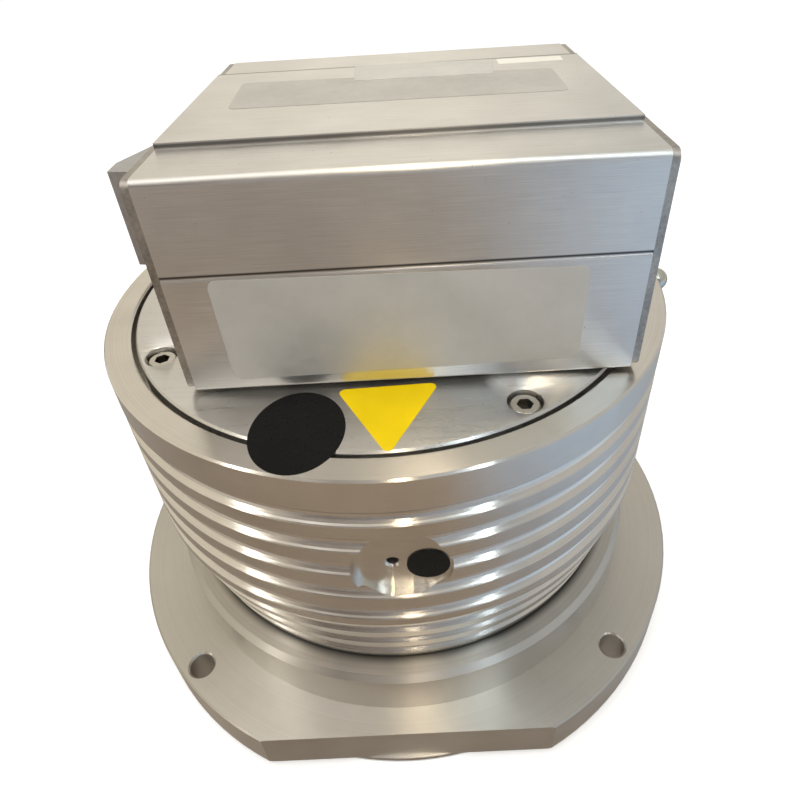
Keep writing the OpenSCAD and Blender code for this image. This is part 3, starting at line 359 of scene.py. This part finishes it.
def moulded(name, colour, roughness=0.45, grain=700.0, metallic=0.0, gloss=0.5):
    """Plastic, rubber, film or lacquer with a fine skin texture."""
    made, tree, shader, place = start(name, colour, metallic, roughness)
    shader.inputs["Specular IOR Level"].default_value = gloss
    skin = noise(tree, place, grain, SKIN_DETAIL)
    cloud = noise(tree, place, *SKIN_CLOUD)
    low = tuple(c * 0.85 for c in colour)
    high = tuple(min(1.0, c * 1.15 + 0.004) for c in colour)
    link(tree, mix_colour(tree, cloud, low, high), shader, "Base Color")
    link(tree, varied(tree, skin, roughness, SKIN_TONE), shader, "Roughness")
    bump(tree, shader, skin, 0.2, 0.00002)
    return made


# painted shade in creases as (axis, place on it, reach, depth): at the seam, and at the steps in front of and
# behind the raised panel
SHELL_SHADE_CREASES = [(2, SEAM_Z, 0.55 * MM, 0.85), (2, PANEL_Z - 0.82 * MM, 0.7 * MM, 0.7),
                 (1, PANEL_REAR - 0.5 * MM, 0.9 * MM, 0.6)]
# painted shade in the hollow of the cover screws' sockets
SOCKET_SHADE = [(2, SCREW_TOP - 1.9 * MM, 1.7 * MM, 0.75)]
# grain of the base cover, coarser than that of the drive box
COVER_GRAIN = (30.0, 700.0, 700.0)

SLOT_LOOKS = {
    "turned_aluminium": turned_metal("turned_aluminium", (0.74, 0.71, 0.66), 0.22, (SHOULDER_TOP, 0.36)),
    "cover_aluminium": brushed_metal("cover_aluminium", (0.68, 0.67, 0.65), 0.3, COVER_GRAIN, 0.000006, 0.04),
    "shell_aluminium": brushed_metal("shell_aluminium", (0.74, 0.73, 0.71), shaded_creases=SHELL_SHADE_CREASES),
    "end_plate_aluminium": plain_metal("end_plate_aluminium", (0.42, 0.40, 0.37), 0.42, 0.3),
    "block_aluminium": plain_metal("block_aluminium", (0.5, 0.5, 0.52), 0.4),
    "stator_aluminium": plain_metal("stator_aluminium", (0.68, 0.68, 0.69), 0.3),
    "spacer_aluminium": turned_metal("spacer_aluminium", (0.7, 0.7, 0.7), 0.3),
    "rotor_aluminium": plain_metal("rotor_aluminium", (0.76, 0.76, 0.77), 0.24, 0.06),
    "stainless_steel": turned_metal("stainless_steel", (0.64, 0.64, 0.64), 0.25),
    "screw_steel": plain_metal("screw_steel", (0.62, 0.60, 0.55), 0.2, 0.1, SOCKET_SHADE),
    "terminal_steel": plain_metal("terminal_steel", (0.58, 0.57, 0.50), 0.25, 0.1),
    "shaft_steel": turned_metal("shaft_steel", (0.55, 0.55, 0.56), 0.22),
    "bearing_steel": plain_metal("bearing_steel", (0.7, 0.7, 0.72), 0.12, 0.04),
    "connector_steel": plain_metal("connector_steel", (0.6, 0.6, 0.56), 0.3),
    "magnet_alloy": plain_metal("magnet_alloy", (0.3, 0.3, 0.31), 0.4),
    "lamination_iron": plain_metal("lamination_iron", (0.28, 0.29, 0.31), 0.45),
    "winding_copper": plain_metal("winding_copper", (0.66, 0.34, 0.18), 0.35),
    "contact_brass": plain_metal("contact_brass", (0.76, 0.62, 0.3), 0.25),
    "seal_rubber": moulded("seal_rubber", (0.03, 0.03, 0.03), 0.55),
    "black_plastic": moulded("black_plastic", (0.006, 0.006, 0.006), 0.3, gloss=0.12),
    "cage_polymer": moulded("cage_polymer", (0.6, 0.46, 0.26), 0.4),
    "carbon_fibre": moulded("carbon_fibre", (0.03, 0.03, 0.033), 0.3),
    "board_laminate": moulded("board_laminate", (0.03, 0.16, 0.07), 0.3),
    "component_plastic": moulded("component_plastic", (0.06, 0.065, 0.1), 0.4),
}

for part in frame["record"]["subparts"]:
    node = NODES[part["node"]]
    node.data.materials.clear()
    node.data.materials.append(SLOT_LOOKS[part["material_slot"]])


# ---------- base cover with its counterbores open to the face ----------

COVER_SCREW_CIRCLE = 0.079
COVER_SCREW_TURN = -60.6
COVER_SCREWS = 4
BORE_R = 0.00502
BORE_SEGMENTS = 96
RIM_BREAK = 0.0003
WELD = 0.001 * MM
SHARP_ANGLE = 25


def counterbore_cutters():
    """Cones that open the cover's counterbores and break their rims."""
    shape = bmesh.new()
    above = 2 * RIM_BREAK
    depth = RIM_BREAK + above
    level = RING_TOP + depth / 2 - RIM_BREAK
    for i in range(COVER_SCREWS):
        turn = math.radians(COVER_SCREW_TURN + 360 / COVER_SCREWS * i)
        centre = (COVER_SCREW_CIRCLE * math.cos(turn), COVER_SCREW_CIRCLE * math.sin(turn), level)
        bmesh.ops.create_cone(shape, cap_ends=True, segments=BORE_SEGMENTS, radius1=BORE_R,
                              radius2=BORE_R + depth, depth=depth, matrix=Matrix.Translation(centre))
    return shape


def as_object(name, shape):
    """An object from a bmesh, which is freed."""
    mesh = bpy.data.meshes.new(name)
    shape.to_mesh(mesh)
    shape.free()
    piece = bpy.data.objects.new(name, mesh)
    bpy.context.scene.collection.objects.link(piece)
    return piece


def bored_cover():
    """The base cover as its own piece, cut by the counterbores."""
    shape = bmesh.new()
    shape.from_mesh(NODES["base_cover"].data)
    shape.transform(NODES["base_cover"].matrix_world)
    bmesh.ops.remove_doubles(shape, verts=shape.verts, dist=WELD)
    blank = as_object("cover_blank", shape)
    cutter = as_object("cover_cutter", counterbore_cutters())
    cut = blank.modifiers.new("counterbores", "BOOLEAN")
    cut.operation, cut.solver, cut.object = "DIFFERENCE", "EXACT", cutter
    seen = blank.evaluated_get(bpy.context.evaluated_depsgraph_get())
    mesh = bpy.data.meshes.new_from_object(seen)
    mesh.shade_smooth()
    mesh.set_sharp_from_angle(angle=math.radians(SHARP_ANGLE))
    piece = bpy.data.objects.new("cover_face", mesh)
    bpy.context.scene.collection.objects.link(piece)
    bpy.data.objects.remove(blank)
    bpy.data.objects.remove(cutter)
    mesh.materials.clear()
    mesh.materials.append(SLOT_LOOKS["cover_aluminium"])
    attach(piece, "housing")
    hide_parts("base_cover")


bored_cover()


# ---------- blank labels and stickers ----------

FILM = 0.12 * MM
RIM_SHARE = 0.4


def film(name, points, away, material, thickness):
    """A thin plate on an outline of 3-D points, raised along a direction; it rides on the housing."""
    shape = bmesh.new()
    rim = thickness * RIM_SHARE
    centre = sum(points, Vector()) / len(points)
    layers = []
    for lift, inset in ((0.0, 0.0), (thickness - rim, 0.0), (thickness, rim)):
        ring = []
        for point in points:
            inward = (centre - point).normalized() * inset
            ring.append(shape.verts.new(point + inward + away * lift))
        layers.append(ring)
    for low, high in zip(layers, layers[1:]):
        for i in range(len(points)):
            j = (i + 1) % len(points)
            shape.faces.new((low[i], low[j], high[j], high[i]))
    shape.faces.new(layers[-1])
    shape.faces.new(list(reversed(layers[0])))
    bmesh.ops.recalc_face_normals(shape, faces=shape.faces)
    piece = as_object(name, shape)
    piece.data.materials.append(material)
    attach(piece, "housing")


def rounded(corners, radius, steps=8):
    """Corner points in order, with each corner rounded, as a list of points."""
    made = []
    for i, corner in enumerate(corners):
        before = (corners[i - 1] - corner).normalized()
        after = (corners[(i + 1) % len(corners)] - corner).normalized()
        half = before.angle(after) / 2
        reach = radius / math.tan(half)
        middle = corner + (before + after).normalized() * (radius / math.sin(half))
        first = corner + before * reach - middle
        last = corner + after * reach - middle
        for k in range(steps + 1):
            made.append(middle + first.lerp(last, k / steps).normalized() * radius)
    return made


def flat_points(pairs, z):
    """(x, y) pairs in millimetres as points at a height."""
    return [Vector((x * MM, y * MM, z)) for x, y in pairs]


def front_points(pairs, y):
    """(x, z) pairs in millimetres, z above the ring, as points on a wall facing the front."""
    return [Vector((x * MM, y, RING_TOP + z * MM)) for x, z in pairs]


def ellipse(centre, across, deep, z, count=72):
    """Points of an ellipse in millimetres at a height."""
    turns = [2 * math.pi * k / count for k in range(count)]
    pairs = [(centre[0] + across / 2 * math.cos(a), centre[1] + deep / 2 * math.sin(a)) for a in turns]
    return flat_points(pairs, z)


silver_film = moulded("silver_film", (0.53, 0.51, 0.47), 0.5, 400.0, 0.5)
grey_film = moulded("grey_film", (0.56, 0.55, 0.50), 0.35, 400.0, 0.3)
cream_film = moulded("cream_film", (0.82, 0.79, 0.70), 0.45)
yellow_film = moulded("yellow_film", (0.82, 0.58, 0.0), 0.4, gloss=0.2)
black_film = moulded("black_film", (0.005, 0.005, 0.005), 0.3, gloss=0.12)

# corners in millimetres, and the radius that rounds them
FRONT_LABEL, FRONT_LABEL_ROUND = [(-41.1, 36.1), (55.0, 34.4), (54.6, 6.0), (-40.6, 4.6)], 2.6
TRIANGLE, TRIANGLE_ROUND = [(-12.9, -60.2), (1.9, -86.8), (16.3, -59.2)], 1.6
# on the raised panel: corners, radius, material and thickness
PANEL_FILMS = {
    "top_label": ([(-39.5, -10.5), (57.0, -11.5), (57.4, 15.5), (-41.0, 20.0)], 2.2, silver_film, FILM),
    "grey_sticker": ([(-5.5, 34.5), (41.0, 32.6), (38.7, 12.8), (-4.8, 13.9)], 0.6, grey_film, 2 * FILM),
    "cream_sticker": ([(42.2, 32.4), (63.5, 31.8), (63.2, 25.6), (42.0, 25.2)], 0.5, cream_film, FILM),
}
DISC_CENTRE, DISC_ACROSS, DISC_DEEP = (-22.0, -76.0), 25.5, 31.0

front_label = rounded(front_points(FRONT_LABEL, BOX_FRONT), FRONT_LABEL_ROUND * MM)
film("front_label", front_label, FRONT, silver_film, FILM)
for name, (corners, radius, material, thickness) in PANEL_FILMS.items():
    film(name, rounded(flat_points(corners, PANEL_Z), radius * MM), UP, material, thickness)
triangle = rounded(flat_points(TRIANGLE, RING_TOP), TRIANGLE_ROUND * MM)
film("triangle_film", triangle, UP, yellow_film, FILM)
disc = ellipse(DISC_CENTRE, DISC_ACROSS, DISC_DEEP, RING_TOP)
film("round_film", disc, UP, black_film, FILM)


# ---------- floor, table card, lamps and world ----------

FLOOR_HALF = 3.0
FLOOR_PALE = (0.9, 0.9, 0.9)
FLOOR_ROUGH = 0.9
FLOOR_LIFT = 0.27

# the table as gloss sees it, a painted reflection on a glowing card: colours, and the places in metres where
# one changes into the next
CARD_HALF = 1.2
CARD_RISE = 1 * MM
TABLE_LEFT = (0.27, 0.21, 0.155)
TABLE_RIGHT = (0.50, 0.66, 0.86)
TABLE_BEHIND = (0.36, 0.34, 0.31)
LEFT_TO_RIGHT = (0.06, 0.26)
FRONT_TO_BEHIND = (-0.15, 0.2)
# glow strength from far in front to nearer, painted brighter near the pump, and from there to the pump's foot,
# painted darker as its shadow
NEAR_GLOW = (-0.46, -0.27, 0.85, 1.48)
FOOT_SHADE = (-0.25, -0.15, 1.0, 0.72)

# the room as gloss sees it: colours, and parts of the view's direction where one changes into the next
ROOM_LEFT = (0.80, 0.73, 0.60)
ROOM_RIGHT = (0.58, 0.57, 0.54)
ROOM_MIDDLE = (0.95, 0.88, 0.76)
FRONT_LEFT = (0.14, 0.105, 0.09)
FRONT_RIGHT = (0.34, 0.38, 0.44)
ROOM_ACROSS = (-0.6, 0.7)
FRONT_ACROSS = (-0.35, 0.5)
FRONT_BEGINS = (-0.25, -0.6)
FRONT_SIDES = (0.75, 0.5)
MIDDLE_BEGINS = (0.0, 0.3)
MIDDLE_SIDES = (0.4, 0.1)
OVERHEAD = (0.85, 0.60)
# strength of the white that lights the pump
FILL = 0.8

# name, place, width, height, power in watts and colour
LAMPS = [
    ("warm_lamp", (0.02, -0.45, 1.25), 0.045, 1.7, 3.2, (1.0, 0.84, 0.60)),
    ("cool_lamp", (0.40, -0.60, 1.15), 0.045, 1.2, 2.2, (0.80, 0.94, 1.0)),
    ("side_lamp", (-0.9, -0.6, 0.8), 0.10, 0.5, 1.0, (1.0, 0.95, 0.90)),
    ("key_lamp", (-0.5, -0.3, 1.4), 1.0, 1.0, 3, (1.0, 1.0, 1.0)),
]


def background_share(tree):
    """1 for rays that should see the plain background: from the camera, in gloss and through glass."""
    path = add(tree, "LightPath")
    seen = maths(tree, "MAXIMUM", path.outputs["Is Camera Ray"], path.outputs["Is Glossy Ray"])
    return maths(tree, "MAXIMUM", seen, path.outputs["Is Transmission Ray"])


def level_sheet(name, half, z):
    """A level square with a material of its own, and that material's nodes."""
    corners = [(-half, -half, 0), (half, -half, 0), (half, half, 0), (-half, half, 0)]
    mesh = bpy.data.meshes.new(name)
    mesh.from_pydata(corners, [], [(0, 1, 2, 3)])
    made = bpy.data.materials.new(name)
    made.use_nodes = True
    mesh.materials.append(made)
    sheet = bpy.data.objects.new(name, mesh)
    sheet.location.z = z
    bpy.context.scene.collection.objects.link(sheet)
    return sheet, made.node_tree


def make_floor():
    """Plain pale floor that keeps the object's shadow."""
    floor, tree = level_sheet("floor", FLOOR_HALF, FLOOR_Z)
    shader = tree.nodes["Principled BSDF"]
    shader.inputs["Base Color"].default_value = (*FLOOR_PALE, 1)
    shader.inputs["Roughness"].default_value = FLOOR_ROUGH
    shader.inputs["Specular IOR Level"].default_value = 0.0
    shader.inputs["Emission Color"].default_value = (*WHITE, 1)
    link(tree, product(tree, background_share(tree), FLOOR_LIFT), shader, "Emission Strength")


def make_table_card():
    """A glowing sheet just over the floor that only shows in gloss, a painted reflection of the table: warm on
    the left, blue on the right.
    """
    card, tree = level_sheet("table_card", CARD_HALF, FLOOR_Z + CARD_RISE)
    tree.nodes.remove(tree.nodes["Principled BSDF"])
    across, deep, _ = split(tree, add(tree, "TexCoord").outputs["Object"])
    front = mix_colour(tree, spread(tree, across, *LEFT_TO_RIGHT), TABLE_LEFT, TABLE_RIGHT)
    tint = mix_colour(tree, spread(tree, deep, *FRONT_TO_BEHIND), front, TABLE_BEHIND)
    # painted light and shadow: the glow rises nearer the pump and drops at its foot
    strength = product(tree, spread(tree, deep, *NEAR_GLOW), spread(tree, deep, *FOOT_SHADE))
    glow = add(tree, "Emission", [("Color", tint), ("Strength", strength)])
    link(tree, glow.outputs[0], tree.nodes["Material Output"], "Surface")
    card.visible_camera = False
    card.visible_diffuse = False
    card.visible_shadow = False
    card.visible_transmission = False


def make_lamp(name, place, width, height, power, colour):
    """A soft lamp that looks at the pump's middle."""
    data = bpy.data.lights.new(name, "AREA")
    data.shape, data.size, data.size_y = "RECTANGLE", width, height
    data.energy, data.color = power, colour
    lamp = bpy.data.objects.new(name, data)
    lamp.location = place
    lamp.rotation_euler = (PUMP_MIDDLE - Vector(place)).to_track_quat("-Z", "Y").to_euler()
    bpy.context.scene.collection.objects.link(lamp)


def make_world():
    """White for the camera; for gloss a room, darker in front, warm on the left and brightest opposite."""
    world = bpy.data.worlds.new("world")
    bpy.context.scene.world = world
    world.use_nodes = True
    tree = world.node_tree
    path = add(tree, "LightPath")
    across, deep, up = split(tree, add(tree, "TexCoord").outputs["Generated"])
    sideways = maths(tree, "ABSOLUTE", across)
    low_down = spread(tree, up, *OVERHEAD)
    walls = mix_colour(tree, spread(tree, across, *ROOM_ACROSS), ROOM_LEFT, ROOM_RIGHT)
    behind, central = spread(tree, deep, *MIDDLE_BEGINS), spread(tree, sideways, *MIDDLE_SIDES)
    opposite = product(tree, behind, central, low_down)
    walls = mix_colour(tree, opposite, walls, ROOM_MIDDLE)
    front = mix_colour(tree, spread(tree, across, *FRONT_ACROSS), FRONT_LEFT, FRONT_RIGHT)
    ahead = product(tree, spread(tree, deep, *FRONT_BEGINS), low_down, spread(tree, sideways, *FRONT_SIDES))
    room = mix_colour(tree, ahead, walls, front)
    unseen = mix_colour(tree, path.outputs["Is Glossy Ray"], WHITE, room)
    shown = mix_colour(tree, path.outputs["Is Camera Ray"], unseen, WHITE)
    background = tree.nodes["Background"]
    link(tree, shown, background, "Color")
    link(tree, spread(tree, background_share(tree), 0.0, 1.0, FILL, 1.0), background, "Strength")


make_floor()
make_table_card()
for lamp in LAMPS:
    make_lamp(*lamp)
make_world()
bpy.context.scene.view_settings.view_transform = "Standard"
